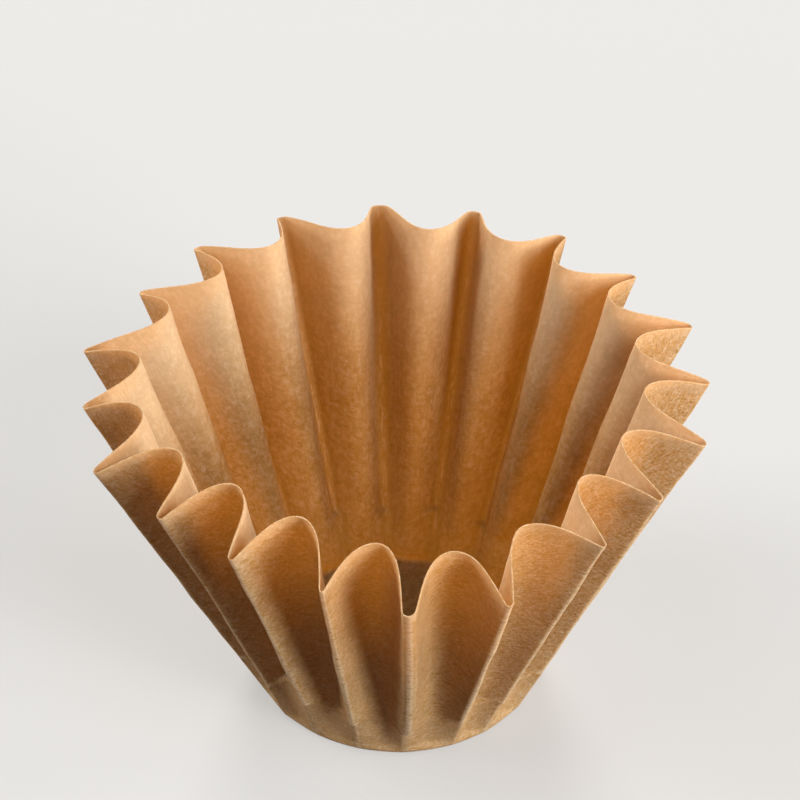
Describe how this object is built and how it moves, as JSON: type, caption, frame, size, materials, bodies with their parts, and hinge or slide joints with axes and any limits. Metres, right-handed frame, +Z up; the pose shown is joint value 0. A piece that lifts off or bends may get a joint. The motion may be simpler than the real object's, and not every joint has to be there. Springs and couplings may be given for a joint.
{
  "type": "paper coffee filter",
  "caption": "Flat-bottomed paper coffee filter with a waved wall, opened by hand: sharp outer ridges, round inner crests and an uneven rim.",
  "frame": {"origin": "centre of the underside of the flat base, where the filter stands", "axes": "+Z up along the cup's axis, from the base to the open rim; -Y towards the first ridge, which faces the viewer"},
  "size_m": [0.1081, 0.1092, 0.0654],
  "materials": {
    "filter_paper": "matt unbleached brown filter paper, soft and fibrous, with a pale cut edge"
  },
  "bodies": {
    "root": {"filter_cup": "filter_paper"}
  },
  "joints": []
}
